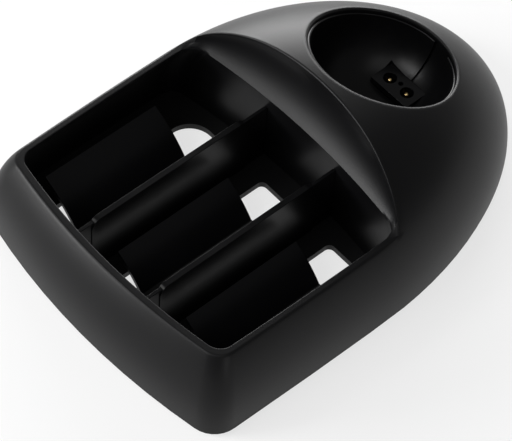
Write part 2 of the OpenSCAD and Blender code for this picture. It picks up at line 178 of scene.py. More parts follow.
def weld(piece, merge=0.000005, flat=None, sharp=40):
    # welds vertices closer than merge metres, makes one face of those that turn by less than flat
    # degrees, turns every face outwards and keeps edges sharp that turn by more than sharp degrees
    work = bmesh.new()
    work.from_mesh(piece.data)
    bmesh.ops.remove_doubles(work, verts=work.verts, dist=merge)
    bmesh.ops.dissolve_degenerate(work, edges=work.edges, dist=merge)
    if flat:
        bmesh.ops.dissolve_limit(work, angle_limit=math.radians(flat), verts=work.verts, edges=work.edges)
    bmesh.ops.recalc_face_normals(work, faces=work.faces)
    for edge in work.edges:
        edge.smooth = edge.is_manifold and edge.calc_face_angle(0) < math.radians(sharp)
    for face in work.faces:
        face.smooth = True
    loose = sum(1 for edge in work.edges if not edge.is_manifold)
    work.to_mesh(piece.data)
    work.free()
    print("  ", piece.name, "faces", len(piece.data.polygons), "open edges", loose)


def modifier(piece, kind, **settings):
    # adds a modifier of that kind and sets what is given
    added = piece.modifiers.new(kind.title(), kind)
    for key, value in settings.items():
        setattr(added, key, value)
    return added


def seat(piece, node, slot):
    # puts a piece in the place of its CAD solid, on the stand's one body
    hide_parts(node)
    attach(piece, "root")
    piece.data.materials.clear()
    piece.data.materials.append(finishes[slot])


soft = {
    "merge": 0.000002,  # metres
    "flat": 0.6,        # degrees, below which neighbouring triangles are one face
    "angle": 28,        # degrees, above which an edge is rounded
    "segments": 3,
}


def softened(node, slot, width):
    # a welded copy of a CAD solid whose edges are rounded by a bevel, its width in millimetres
    mesh = nodes[node].data.copy()
    mesh.name = node + "_look"
    piece = bpy.data.objects.new(node + "_look", mesh)
    bpy.context.scene.collection.objects.link(piece)
    weld(piece, soft["merge"], soft["flat"], soft["angle"])
    modifier(piece, "BEVEL", width=width * 0.001, segments=soft["segments"], limit_method="ANGLE",
             angle_limit=math.radians(soft["angle"]), harden_normals=True, use_clamp_overlap=True)
    modifier(piece, "TRIANGULATE", keep_custom_normals=True)
    seat(piece, node, slot)


# finishes of the moulded plastic; colours are linear, shine is the specular level
plastic = {
    "shell": {"dark": (0.0032, 0.0032, 0.0036), "rough": 0.4, "shine": 0.16},
    "shellCloud": (0.0052, 0.0052, 0.0055),
    "tray": {"dark": (0.0028, 0.0028, 0.0031), "rough": 0.3, "shine": 0.12},
    "cup": {"dark": (0.0030, 0.0030, 0.0034), "rough": 0.3, "shine": 0.2},
    "ramp": {"dark": (0.0026, 0.0026, 0.0031), "rough": 0.34, "shine": 0.16},
    "cover": {"dark": (0.0040, 0.0040, 0.0042), "rough": 0.45, "shine": 0.16},
    "block": {"dark": (0.0020, 0.0020, 0.0024), "rough": 0.18, "shine": 0.3},
    "dust": (0.06, 0.06, 0.056),    # grey of dust and scratches on the polished faces
}


def satinShell():
    # moulded plastic with a fine eroded grain, in soft cloudy patches where hands touch it
    look = plastic["shell"]
    m = Finish("satinShell", Specular_IOR_Level=look["shine"])
    cloud = m.noise(26, 4)
    grain = m.noise(3400, 2, 0.6)
    fine = m.noise(9000, 1)
    dust = m.specks(420, 0.08)
    colour = m.colour((cloud * 0.8 + dust).clamped(), look["dark"], plastic["shellCloud"])
    rough = look["rough"] + (cloud - 0.5) * 0.12 + (grain - 0.5) * 0.1
    return m.set(Base_Color=colour, Roughness=rough, Normal=m.bump(grain * 0.7 + fine * 0.3, 0.35, 0.00006))


def glossPlastic(name, look):
    # polished mould face: shallow waves, hairline scratches, smears and dust
    m = Finish(name, Specular_IOR_Level=look["shine"])
    smear = m.between(m.noise(60, 5, 0.65), 0.45, 0.75)
    lines = m.scratches(160, (0.3, 0.2, 0.9), 0.004) + m.scratches(130, (1.2, 0.4, 0.3), 0.003)
    dust = m.specks(520, 0.07)
    colour = m.colour((dust * 0.8 + lines * 0.02).clamped(), look["dark"], plastic["dust"])
    rough = look["rough"] + smear * 0.08 + dust * 0.4 + lines * 0.05
    height = m.noise(95, 2) + m.noise(2600, 2) * 0.02
    return m.set(Base_Color=colour, Roughness=rough.clamped(), Normal=m.bump(height, 0.2, 0.00018))


def mattPlastic(name, look):
    # fine even grain with faint clouds and some dust
    m = Finish(name, Specular_IOR_Level=look["shine"])
    cloud = m.noise(40, 4)
    grain = m.noise(2800, 2)
    dust = m.specks(480, 0.08)
    light = tuple(c * 1.7 + 0.0005 for c in look["dark"])
    colour = m.colour((cloud * 0.8 + dust * 2).clamped(), look["dark"], light)
    rough = look["rough"] + (cloud - 0.5) * 0.14 + (grain - 0.5) * 0.08 + dust * 0.2
    return m.set(Base_Color=colour, Roughness=rough, Normal=m.bump(grain, 0.3, 0.00004))


def metal(name, dark, light, rough):
    # plated metal with fine turning marks and slightly dull patches
    m = Finish(name, Metallic=1.0)
    patch = m.noise(900, 4)
    rings = m.noise(1400, 2, place=m.turned(scale=(0.15, 0.15, 6.0)))
    return m.set(Base_Color=m.colour(patch, dark, light),
                 Roughness=rough + (patch - 0.5) * 0.12 + (rings - 0.5) * 0.1,
                 Normal=m.bump(rings, 0.2, 0.00003))


def rubber():
    # dull, with a coarse even grain
    m = Finish("rubberFoot", Specular_IOR_Level=0.3)
    grain = m.noise(1800, 4)
    colour = m.colour(grain, (0.008, 0.008, 0.008), (0.02, 0.02, 0.019))
    return m.set(Base_Color=colour, Roughness=0.72 + (grain - 0.5) * 0.2, Normal=m.bump(grain, 0.5, 0.00012))


def sleeve(name, dark, light):
    # soft insulation of a lead
    m = Finish(name, Specular_IOR_Level=0.45)
    cloud = m.noise(300, 3)
    return m.set(Base_Color=m.colour(cloud, dark, light), Roughness=0.42 + (cloud - 0.5) * 0.15,
                 Normal=m.bump(m.noise(1500, 2), 0.2, 0.00005))


finishes = {
    "satin_shell": satinShell(),
    "gloss_tray": glossPlastic("glossTray", plastic["tray"]),
    "matt_ramp": mattPlastic("mattRamp", plastic["ramp"]),
    "matt_cover": mattPlastic("mattCover", plastic["cover"]),
    "gloss_cup": glossPlastic("glossCup", plastic["cup"]),
    "contact_block": mattPlastic("contactBlock", plastic["block"]),
    "contact_metal": metal("contactBrass", (0.62, 0.42, 0.16), (0.86, 0.66, 0.34), 0.2),
    "plated_steel": metal("platedSteel", (0.42, 0.42, 0.43), (0.66, 0.66, 0.65), 0.3),
    "red_lead": sleeve("redSleeve", (0.28, 0.01, 0.008), (0.42, 0.02, 0.015)),
    "black_lead": sleeve("blackSleeve", (0.008, 0.008, 0.008), (0.02, 0.02, 0.02)),
    "rubber_foot": rubber(),
}
print("finishes:", len(finishes))

# the stand's form, by the same formulas as the CAD source, in millimetres above the cover's underside
form = {
    "halfW": 55.8, "wideY": -8.0, "backLen": 90.8,      # half width, its place, run back to the nose
    "frontY": -82.6, "frontR": 247.0, "frontFlare": 0.15,   # bowed front, leans more than the sides
    "cornerR": 9.5, "cornerLoss": 0.5, "sideIn": 0.8,   # corners, smaller where the walls lean in
    "crownH": 51.7, "sidePower": 0.37, "nosePower": 0.18, "wall": 1.7,  # dome and its thickness
    "settle": 0.55, "settleFrom": (45.0, 50.5),         # how far the outer skin settles near the crown
    "rimZ": 30.0, "faceY": 5.0, "faceBow": 0.00188, "faceLean": 0.25,   # rim and crescent face
    "filletR": 5.0, "filletBack": 4.5,                  # back corners of the tray
    "footH": 1.0, "coverT": 2.4,
    "wellY": 37.7, "wellR": 23.4, "cupR": 22.7, "cupT": 1.8, "bowlR": 17.6, "bowlZ": 33.0,
    "inletZ": 9.4, "inletR": 4.1,
}


def share(z, s2, k):
    # share of the plan left at height z: root of one minus z over the crown, to a power
    f = form
    power = 1 / (f["sidePower"] + f["nosePower"] * s2)
    return np.sqrt(np.maximum(1 - np.power(np.maximum(z, 0) / (f["crownH"] - k), power), 0))


def domeZ(x, y, k):
    # height of the dome over a place in plan, zero outside its outline; the outer side settles
    # smoothly near the crown, because the facets of the solid end a little below the formula
    f = form
    px, py = x / (f["halfW"] - k), (y - f["wideY"]) / (f["backLen"] - k)
    r2 = px * px + py * py
    s2 = py * py / np.maximum(r2, 1e-9)
    z = (f["crownH"] - k) * np.power(np.maximum(1 - r2, 0), f["sidePower"] + f["nosePower"] * s2)
    if k > 0:
        return z
    low, high = f["settleFrom"]
    return z - f["settle"] * np.clip((z - low) / (high - low), 0, 1) ** 2


def rear(t, z, k):
    # rear wall: an ellipse in plan that shrinks with height
    f = form
    r = share(z, np.sin(t) ** 2, k)
    x = (f["halfW"] - k) * r * np.cos(t)
    y = f["wideY"] + (f["backLen"] - k) * r * np.sin(t)
    return np.stack(np.broadcast_arrays(x, y, z), -1)


def rearY(x, z, k):
    # where the rear wall stands behind a place x at height z, by fixed-point steps
    f = form
    s2 = np.ones(np.broadcast(x, z).shape)
    for _ in range(6):
        r = share(z, s2, k)
        y = (f["backLen"] - k) * np.sqrt(np.maximum(r * r - (x / (f["halfW"] - k)) ** 2, 0))
        s2 = (y / (f["backLen"] - k)) ** 2 / np.maximum(r * r, 1e-9)
    return f["wideY"] + y


def faceY(x, z, k):
    # crescent face: a bowed line in plan that leans back above the rim
    f = form
    return f["faceY"] - f["faceBow"] * x * x + f["faceLean"] * np.maximum(z - f["rimZ"], 0) + k


def halve(test, low, high, steps=46):
    # bisection on whole arrays: test is true on the low side
    low, high = low.astype(float), high.astype(float)
    for _ in range(steps):
        mid = (low + high) / 2
        inside = test(mid)
        low = np.where(inside, mid, low)
        high = np.where(inside, high, mid)
    return low


def endAngle(z):
    # angle at which the outer rear wall meets the crescent face
    def ahead(t):
        p = rear(t, z, 0)
        return p[:, 1] < faceY(p[:, 0], z, 0)
    return halve(ahead, np.zeros(1), np.full(1, math.pi / 2))


def leanIn(z, k):
    # how far the side wall stands inside the widest line at height z
    f = form
    return f["halfW"] - (f["halfW"] - k) * share(z, 0.0, k)


def frontHalf(d):
    # right side, corner arc and half of the bowed front, drawn in by d
    f, counts = form, skin["frontSteps"]
    r = f["cornerR"] - f["cornerLoss"] * d
    front = f["frontY"] + (1 + f["frontFlare"]) * d
    w = f["halfW"] - f["sideIn"] - d - r
    y = front + f["frontR"] - np.sqrt((f["frontR"] - r) ** 2 - w * w)
    a = np.arcsin(w / (f["frontR"] - r))
    u = np.linspace(0, 1, counts[0] + 1)[1:]
    side = np.stack([f["halfW"] - d - f["sideIn"] * u * u, f["wideY"] + (y - f["wideY"]) * u], -1)
    b = -np.linspace(0, 1, counts[1] + 1)[1:] * (math.pi / 2 - a)
    arc = np.stack([w + r * np.cos(b), y + r * np.sin(b)], -1)
    c = a * (1 - np.linspace(0, 1, counts[2] + 1)[1:])
    bow = np.stack([f["frontR"] * np.sin(c), front + f["frontR"] - f["frontR"] * np.cos(c)], -1)
    return np.concatenate([side, arc, bow])


skin = {
    "rays": 150,            # rays from the well to the rear wall
    "crescentRays": 96,     # rays from the well to the crescent
    "closer": 0.45,         # how much closer these stand towards the crescent's ends
    "domeRows": 44,         # rows along each ray
    "samples": 240,         # steps along a ray from which its rows are chosen
    "sampleFall": 1.6,      # how much shorter the steps get towards the ray's end
    "farRay": 75.0,         # longer than any ray
    "tailSteps": 5,         # columns from the crescent's end to the widest line
    "frontSteps": (16, 14, 22),     # columns of the side, the corner and half of the front
    "bottomRows": (0, 0.25, 1.5),   # heights of the lowest rows over the cover
    "wallRows": 15,         # rows from the inlet to just below the rim
    "underRim": 1.2,        # from the last of them to the rim
    "lip": 1.6,             # rounding of the well's edge
    "lipRows": 7,
    "crease": 0.6,          # rounding of the outer edge of rim and crescent
    "creaseRows": 5,
    "faceFade": 0.05,       # share of the crescent in which it fades at either end
    "rimFade": (4, 0.15),   # columns in which it comes back on the rim, and its share there at first
    "rimInner": 0.4,        # rounding of the inner edge of the rim
    "hollow": 0.13,         # depth of the crescent's hollow, per millimetre of its height
    "hollowRows": (17, 11),     # rows of its outer and its inner side
    "innerFoot": 0.2,       # height over the rim at which the inner side ends
    "innerFrom": 0.25,      # where it stands higher than this over the rim
    "holeCells": 4,         # half width of the square of cells that opens into the inlet
    "holeReach": 2.6,       # how far the cells round the inlet are moved, in half widths
}


def rayPoint(phi, d):
    # place in plan at distance d from the well's axis
    return d * np.cos(phi), form["wellY"] + d * np.sin(phi)


def domePatch(phi, k, toCrescent, start, setBack):
    # rays from the well's lip to the crescent's edge, or to the height of the rim;
    # rows are spread evenly along each ray, which ends short of the edge by setBack
    flat = form["rimZ"]

    def inside(d):
        x, y = rayPoint(phi, d)
        z = domeZ(x, y, k)
        return (y > faceY(x, z, k)) & (z > flat) if toCrescent else z > flat
    near = np.full(len(phi), form["wellR"] + start)
    far = halve(inside, near, np.full(len(phi), skin["farRay"]))
    u = np.linspace(0, 1, skin["samples"])[:, None]
    d = near + (far - near) * (1 - (1 - u) ** skin["sampleFall"])
    x, y = rayPoint(phi, d)
    z = domeZ(x, y, k)
    step = np.sqrt(np.diff(x, axis=0) ** 2 + np.diff(y, axis=0) ** 2 + np.diff(z, axis=0) ** 2)
    run = np.concatenate([np.zeros((1, len(phi))), np.cumsum(step, axis=0)])
    wanted = np.linspace(0, 1, skin["domeRows"])[:, None] * (run[-1] - setBack)
    d = np.stack([np.interp(wanted[:, j], run[:, j], d[:, j]) for j in range(len(phi))], 1)
    xEnd, yEnd = rayPoint(phi, far)
    x, y = rayPoint(phi, d)
    edge = np.stack([xEnd, yEnd, domeZ(xEnd, yEnd, k)], -1)
    return np.stack([x, y, domeZ(x, y, k)], -1), edge


def wallOutline(tRear, z, k):
    # closed outline at height z: rear columns, then the front from the left end to the right
    back = rear(tRear, z, k)
    tail = rear(np.linspace(tRear[0], 0, skin["tailSteps"] + 1)[1:], z, k)
    half = np.concatenate([tail[:, :2], frontHalf(leanIn(z, k))])
    half = np.concatenate([half, np.full((len(half), 1), z)], 1)
    return np.concatenate([back, half * [-1, 1, 1], half[-2::-1]])


def pushHole(points, jMid, iMid, k):
    # moves the cells round the inlet so that a square of cells opens into a round hole
    f, cells = form, skin["holeCells"]
    reach = cells * skin["holeReach"]
    rows, cols = points.shape[:2]
    i, j = np.meshgrid(np.arange(rows) - iMid, np.arange(cols) - jMid, indexing="ij")
    ring = np.maximum(abs(i), abs(j)).astype(float)
    turn = np.arctan2(i, j)
    x, z = points[..., 0], points[..., 2]
    fade = np.clip((reach - ring) / (reach - cells), 0, 1) ** 1.5
    size = ring / cells * f["inletR"]
    x2 = x * (1 - fade) - size * np.cos(turn) * fade
    z2 = z * (1 - fade) + (f["inletZ"] + size * np.sin(turn)) * fade
    z2[0] = z[0]
    near = fade > 0
    y2 = np.where(near, rearY(x2, z2, k), points[..., 1])
    return np.stack([np.where(near, x2, x), y2, np.where(near, z2, z)], -1)


def rounded(a, b, c, rows):
    # arc-like curve from a to c that bends towards the corner b, as rows of a grid
    u = np.linspace(0, 1, rows)[:, None, None]
    return a * (1 - u) ** 2 + b * 2 * u * (1 - u) + c * u * u


def towards(a, b, run):
    # the point that lies run millimetres from a on the way to b, or just short of half way
    gap = np.linalg.norm(b - a, axis=-1, keepdims=True)
    return a + (b - a) * np.minimum(run[:, None] / np.maximum(gap, 1e-6), 0.48)


def hollowed(a, b, height, rows):
    # straight rows from a to b that sag back by a parabola, deeper where the face is higher
    u = np.linspace(0, 1, rows)[:, None, None]
    sag = skin["hollow"] * np.maximum(height, 0)[:, None] * np.array([0, 1.0, 0])
    return a * (1 - u) + b * u + 4 * u * (1 - u) * sag


def insideX(z):
    # inner half-width of the side walls just in front of the crescent
    f = form
    r = share(z, 0.0, f["wall"])
    return (f["halfW"] - f["wall"]) * np.sqrt(r * r - (f["filletBack"] / f["backLen"]) ** 2)


def footLine(s, z):
    # the bowed foot of the crescent with a fillet at each end, by its run from the middle
    xr = insideX(z) - form["filletR"]
    yc = faceY(xr, 0.0, 0.0) - form["filletR"]
    arc = form["filletR"] * math.pi / 2
    run = np.abs(s) * (xr + arc)
    beta = np.clip((xr + arc - run) / form["filletR"], 0, math.pi / 2)
    onArc = run > xr
    x = np.where(onArc, xr + form["filletR"] * np.cos(beta), run)
    y = np.where(onArc, yc + form["filletR"] * np.sin(beta), faceY(run, 0.0, 0.0))
    return np.stack([np.sign(s) * x, y, np.full(len(s), float(z))], -1)


def buildHousing():
    # the whole shell as one closed skin: grids for dome, crescent, walls, rim, lip and inlet, each
    # worked out for the outer surface and again for the inner one, then welded at their seams
    f = form
    top = f["rimZ"]
    parts, faces = [], []

    def add(points, closed=False, skip=None):
        # one grid of points, without the cells that skip names
        start = sum(len(p) for p in parts)
        quads = gridFaces(points.shape[0], points.shape[1], 0, closed)
        if skip is not None:
            quads = quads[~skip(quads, points.shape[1])]
        parts.append(points.reshape(-1, 3))
        faces.extend((quads + start).tolist())

    def addFace(*corners):
        # one flat face of its own
        start = sum(len(p) for p in parts)
        parts.append(np.array(corners))
        faces.append(list(range(start, start + len(corners))))

    # rays run round the nose from the crescent's right end to its left end, and back over the crescent
    right = rear(endAngle(top), top, 0)[0]
    phiEnd = math.atan2(right[1] - f["wellY"], right[0])
    phiRear = phiEnd + (math.pi - 2 * phiEnd) * np.linspace(0, 1, skin["rays"] + 1)
    spread = np.linspace(-1, 1, skin["crescentRays"] + 1)
    spread = spread + (np.sin(spread * math.pi / 2) - spread) * skin["closer"]
    phiFace = -math.pi / 2 + spread * (math.pi / 2 + phiEnd)
    fadeFace = np.minimum((1 - abs(spread)) / skin["faceFade"], 1)
    outRear = domePatch(phiRear, 0, False, skin["lip"], 0)[0]
    outFace, edge = domePatch(phiFace, 0, True, skin["lip"], skin["crease"] * fadeFace)
    inRear = domePatch(phiRear, f["wall"], False, 0, 0)[0]
    inFace, edgeIn = domePatch(phiFace, f["wall"], True, 0, 0)
    for face, back in ((outFace, outRear), (inFace, inRear)):
        face[:, -1] = back[:, 0]
        face[:, 0] = back[:, -1]
    edge[-1], edge[0] = outRear[-1, 0], outRear[-1, -1]
    edgeIn[-1], edgeIn[0] = inRear[-1, 0], inRear[-1, -1]

    # walls: levels from the bottom edge to the rim, with a square of cells round the inlet
    cells, bottom = skin["holeCells"], f["coverT"] + np.array(skin["bottomRows"])
    iMid, jMid = len(bottom) + cells, skin["rays"] // 2
    hole = f["inletZ"] + np.linspace(-1, 1, 2 * cells + 1) * f["inletR"]
    upper = np.linspace(hole[-1], top - skin["underRim"], skin["wallRows"])
    levels = np.concatenate([bottom, hole, upper[1:], [top]])

    def anglesOf(points, k):
        # the rear ellipse's own angle of each point
        return np.arctan2((points[:, 1] - f["wideY"]) / (f["backLen"] - k), points[:, 0] / (f["halfW"] - k))
    nRear = len(phiRear)
    outer = np.stack([wallOutline(anglesOf(outRear[-1], 0), z, 0) for z in levels])
    inner = np.stack([wallOutline(anglesOf(inRear[-1], f["wall"]), z, f["wall"]) for z in levels])
    rimOuter = outer[-1, nRear:].copy()
    outer[-1, :nRear], inner[-1, :nRear] = outRear[-1], inRear[-1]
    outer, inner = pushHole(outer, jMid, iMid, 0), pushHole(inner, jMid, iMid, f["wall"])

    def inHole(quads, cols):
        # which cells belong to the square that opens into the inlet
        i, j = quads[:, 0] // cols - iMid, quads[:, 0] % cols - jMid
        return (i >= -cells) & (i < cells) & (j >= -cells) & (j < cells)

    # the rim's outer rounding fades out where the crescent begins
    nFront = outer.shape[1] - nRear
    place = np.arange(nFront)
    columns, atFirst = skin["rimFade"]
    fadeRim = np.minimum(np.minimum(place, nFront - 1 - place) / columns + atFirst, 1)
    under = wallOutline(anglesOf(outRear[-1], 0), top - skin["crease"], 0)[nRear:]
    outer[-1, nRear:] = rimOuter * (1 - fadeRim[:, None]) + under * fadeRim[:, None]
    add(outRear)
    add(outFace)
    add(outer, True, inHole)
    add(inRear)
    add(inFace)
    add(inner[:, :nRear], False, inHole)
    c = np.arange(-cells, cells)
    ri = iMid + np.concatenate([c * 0 - cells, c, c * 0 + cells, -c])
    rj = jMid + np.concatenate([c, c * 0 + cells, -c, c * 0 - cells])
    add(np.stack([outer[ri, rj], inner[ri, rj]]), True)

    # lip of the well: a rounding, then the wall of the round hole
    around = np.concatenate([phiRear, phiFace[1:-1]])
    x, y = rayPoint(around, f["wellR"])
    corner = np.stack([x, y, domeZ(x, y, 0)], -1)
    lipTop = np.concatenate([outRear[0], outFace[0, 1:-1]])
    lipLow = corner - [0, 0, skin["lip"]]
    add(rounded(lipTop, corner, lipLow, skin["lipRows"]), True)
    add(np.stack([lipLow, np.concatenate([inRear[0], inFace[0, 1:-1]])]), True)

    # inner front walls, joined to the fillets of the back corners
    innerFront = inner[:, nRear:].copy()
    steps = skin["tailSteps"]
    v = np.sin(np.linspace(0, 1, steps + 1)[1:] * math.pi / 2)
    w = np.linspace(0, 1, steps + 1)[1:]
    for row, z in enumerate(levels):
        start = footLine(np.array([1.0]), z)[0]
        stop = rear(0.0, z, f["wall"])
        line = np.stack([start[0] + (stop[0] - start[0]) * v, start[1] + (stop[1] - start[1]) * w,
                         np.full(steps, z)], -1)
        innerFront[row, :steps] = line * [-1, 1, 1]
        innerFront[row, -steps:] = line[::-1]
    run = edge[:, 0] / edge[-1, 0]
    foot = footLine(run, top)
    xr = insideX(top) - f["filletR"]
    arcShare = xr / (xr + f["filletR"] * math.pi / 2)
    onArc = abs(run) > arcShare
    first = np.where(onArc & (run > 0))[0][0] - 1    # last column before the right fillet
    last = len(run) - 1 - first
    fadeFoot = np.clip((abs(run) - arcShare) / (1 - arcShare) * 2, 0, 1)
    fadeFoot[first], fadeFoot[last] = 0, 0

    # the top surface is one closed band: crescent from left to right, then the rim back to the left
    outerLine = np.concatenate([edge, rimOuter[::-1]])
    innerLine = np.concatenate([foot, innerFront[-1, ::-1]])
    roundOut = skin["crease"] * np.concatenate([fadeFace, fadeRim[::-1]])
    roundIn = skin["rimInner"] * np.concatenate([fadeFoot, np.ones(nFront)])
    start = np.concatenate([outFace[-1], outer[-1, nRear:][::-1]])
    bandOut = towards(outerLine, innerLine, roundOut)
    bandIn = towards(innerLine, outerLine, roundIn)
    below = innerLine - np.array([0, 0, 1.0]) * roundIn[:, None]
    rowsOut, rowsIn = skin["hollowRows"]
    add(rounded(start, outerLine, bandOut, skin["creaseRows"]), True)
    add(hollowed(bandOut, bandIn, outerLine[:, 2] - top, rowsOut), True)
    add(rounded(bandIn, innerLine, below, skin["creaseRows"]), True)

    # inner walls below that band, from the right fillet round the front to the left fillet
    nCres = len(run)
    chain = np.concatenate([np.arange(first, nCres + nFront), np.arange(0, last + 1)])
    walls = np.concatenate([
        np.stack([footLine(run[first:], z) for z in levels]), innerFront[:, ::-1],
        np.stack([footLine(run[:last + 1], z) for z in levels])], 1)
    walls[-1] = below[chain]
    add(walls)
    # under the crescent's foot, its inner side, and the blind faces of the two fillets
    footIn = edgeIn.copy()
    high = edgeIn[:, 2] > top + skin["innerFrom"]
    footIn[high, 2] = top + skin["innerFoot"]
    footIn[:, 1] = np.where(high, faceY(footIn[:, 0], 0.0, 0.0) + f["wall"], footIn[:, 1])
    add(hollowed(edgeIn, footIn, edgeIn[:, 2] - top, rowsIn))
    add(np.stack([foot[last:first + 1], footIn[last:first + 1]]))
    for side in (1, -1):
        cols = np.arange(first, nCres) if side > 0 else np.arange(last, -1, -1)
        near = np.stack([footLine(run[cols], z) for z in levels])
        near[-1] = below[cols]
        endRear = inner[:, 0 if side > 0 else nRear - 1]
        v = np.linspace(0, 1, len(cols))[None, :, None]
        blind = near[:, :1] * (1 - v) + endRear[:, None] * v
        blind[-1] = footIn[cols]
        blind[-1, -1] = endRear[-1]
        add(blind)
        add(np.stack([near[:, 0], blind[:, 0]], 1)[-2:])
        add(np.stack([near[0], blind[0]]))
        addFace(near[0, -1], endRear[0], outer[0, 0 if side > 0 else nRear - 1],
                outer[0, -1 if side > 0 else nRear], innerFront[0, -1 if side > 0 else 0])
    # bottom edge
    add(np.stack([outer[0, :nRear], inner[0, :nRear]]))
    add(np.stack([outer[0, nRear:], innerFront[0]]))
    piece = newMesh("housing_look", np.concatenate(parts) + [0, 0, f["footH"]], faces)
    weld(piece)
    return piece


print("housing skin")
seat(buildHousing(), "housing", "satin_shell")

# the cup: one turned skin from the axis along the floor, over the lip and back below
cup = {
    "around": 160,          # columns round the axis
    "flatRows": 4,          # rows over the flat floor
    "bowlRows": 34,         # rows up the round bowl
    "wallRows": 8,          # rows up the straight wall
    "lip": 0.9,             # rounding of the upper inner edge
    "lipRows": 9,
    "gap": 0.15,            # between the cup and the shell above it
    "blockHole": (-8.25, 42.45, 8.25, 51.55),   # left, front, right and back of the hole for the block
    "blockLow": 4.0,        # where its cutter begins
    "groove": (0.9, 8.3),   # left and right face of the guide groove
    "grooveStart": 9.3,     # how far behind the axis it begins
    "grooveDepth": 0.9,
    "grooveSteps": (33, 17),    # rows up the groove and columns across it
    "high": 60.0,           # above everything
    "sharp": 32,            # degrees, above which an edge stays sharp
}


def roundWell(phi, r, z):
    # point at angle phi and distance r from the well's axis, at height z
    x, y = rayPoint(phi, r)
    return np.stack(np.broadcast_arrays(x, y, z), -1)


def cupSide(phi, radius, rise):
    # rows from the axis over the flat floor and the round bowl, then straight up to the height rise
    flat = form["cupR"] - form["bowlR"]
    bend = np.arccos(np.clip((form["bowlZ"] - rise) / radius, 0, 1))
    level = form["bowlZ"] - radius
    rows = [roundWell(phi, flat * u, level) for u in np.linspace(0, 1, cup["flatRows"])]
    for u in np.linspace(0, 1, cup["bowlRows"] + 1)[1:]:
        out, z = flat + radius * np.sin(bend * u), form["bowlZ"] - radius * np.cos(bend * u)
        rows.append(roundWell(phi, out, z))
    low = rows[-1]
    for u in np.linspace(0, 1, cup["wallRows"] + 1)[1:]:
        rows.append(low + (rise - low[:, 2])[:, None] * u * np.array([0, 0, 1.0]))
    return np.stack(rows)


def grooveCutter():
    # everything above the deepened bowl between the groove's two side faces
    (left, right), (rows, cols) = cup["groove"], cup["grooveSteps"]
    flat, radius = form["cupR"] - form["bowlR"], form["bowlR"] + cup["grooveDepth"]
    x = np.linspace(left, right, cols)[None, :]
    start = np.arcsin((np.sqrt(x * x + cup["grooveStart"] ** 2) - flat) / radius)
    bend = start + (math.pi / 2 - start) * np.linspace(0, 1, rows)[:, None]
    r = flat + radius * np.sin(bend)
    y = form["wellY"] + np.sqrt(r * r - x * x)
    floor = np.stack([x + 0 * y, y, form["bowlZ"] - radius * np.cos(bend)], -1)
    roof = floor * [1, 1, 0] + [0, 0, cup["high"]]
    ring = np.concatenate([np.arange(cols), np.arange(2 * cols - 1, rows * cols, cols),
                           np.arange(rows * cols - 2, (rows - 1) * cols - 1, -1),
                           np.arange((rows - 2) * cols, 0, -cols)])
    side = gridFaces(2, len(ring), 2 * rows * cols, True)
    floor, roof = floor.reshape(-1, 3), roof.reshape(-1, 3)
    points = np.concatenate([floor, roof, floor[ring], roof[ring]])
    faces = np.concatenate([gridFaces(rows, cols), gridFaces(rows, cols, rows * cols), side])
    return points, faces


def carved(piece, cutters):
    # takes the closed cutters away from the piece and leaves no cutter in the scene
    for cutter in cutters:
        cut = modifier(piece, "BOOLEAN", operation="DIFFERENCE", solver="EXACT")
        cut.object = cutter
    bpy.context.view_layer.update()
    whole = piece.evaluated_get(bpy.context.evaluated_depsgraph_get())
    mesh = bpy.data.meshes.new_from_object(whole)
    piece.modifiers.clear()
    piece.data = mesh
    for cutter in cutters:
        bpy.data.objects.remove(cutter)


def buildCup():
    # the inner profile, a rounded lip and the outer profile, all turned round the well's axis; its
    # upper edge follows the dome, and the groove and the block's hole are cut out of it
    f = form
    phi = np.linspace(0, 2 * math.pi, cup["around"] + 1)[:-1]

    def top(points):
        # the same places at the height of the shell's underside, less the gap
        height = domeZ(points[:, 0], points[:, 1], f["wall"] + cup["gap"])
        return np.stack([points[:, 0], points[:, 1], height], -1)
    inside = cupSide(phi, f["bowlR"], top(roundWell(phi, f["cupR"], 0))[:, 2] - cup["lip"])
    outside = cupSide(phi, f["bowlR"] + f["cupT"], top(roundWell(phi, f["cupR"] + f["cupT"], 0))[:, 2])
    outside[-1] = top(outside[-1])
    corner = top(inside[-1])
    out = roundWell(phi, 1.0, 0) - roundWell(phi, 0.0, 0)
    lip = rounded(inside[-1], corner, top(inside[-1] + out * cup["lip"]), cup["lipRows"])[1:]
    grid = np.concatenate([inside, lip, outside[::-1]])
    lift = np.array([0, 0, f["footH"]])
    faces = gridFaces(len(grid), len(phi), 0, True)
    piece = newMesh("well_cup_look", grid.reshape(-1, 3) + lift, faces)
    weld(piece)
    points, faces = grooveCutter()
    groove = newMesh("groove", points + lift, faces)
    weld(groove)
    left, front, right, back = cup["blockHole"]
    corners = ((left, front), (right, front), (right, back), (left, back))
    box = np.array([[x, y, z] for z in (cup["blockLow"], f["bowlZ"]) for x, y in corners])
    sides = [[3, 2, 1, 0], [4, 5, 6, 7], [0, 1, 5, 4], [1, 2, 6, 5], [2, 3, 7, 6], [3, 0, 4, 7]]
    carved(piece, [newMesh("blockHole", box + lift, sides), groove])
    weld(piece, soft["merge"], sharp=cup["sharp"])
    return piece


print("well cup")
seat(buildCup(), "well_cup", "gloss_cup")

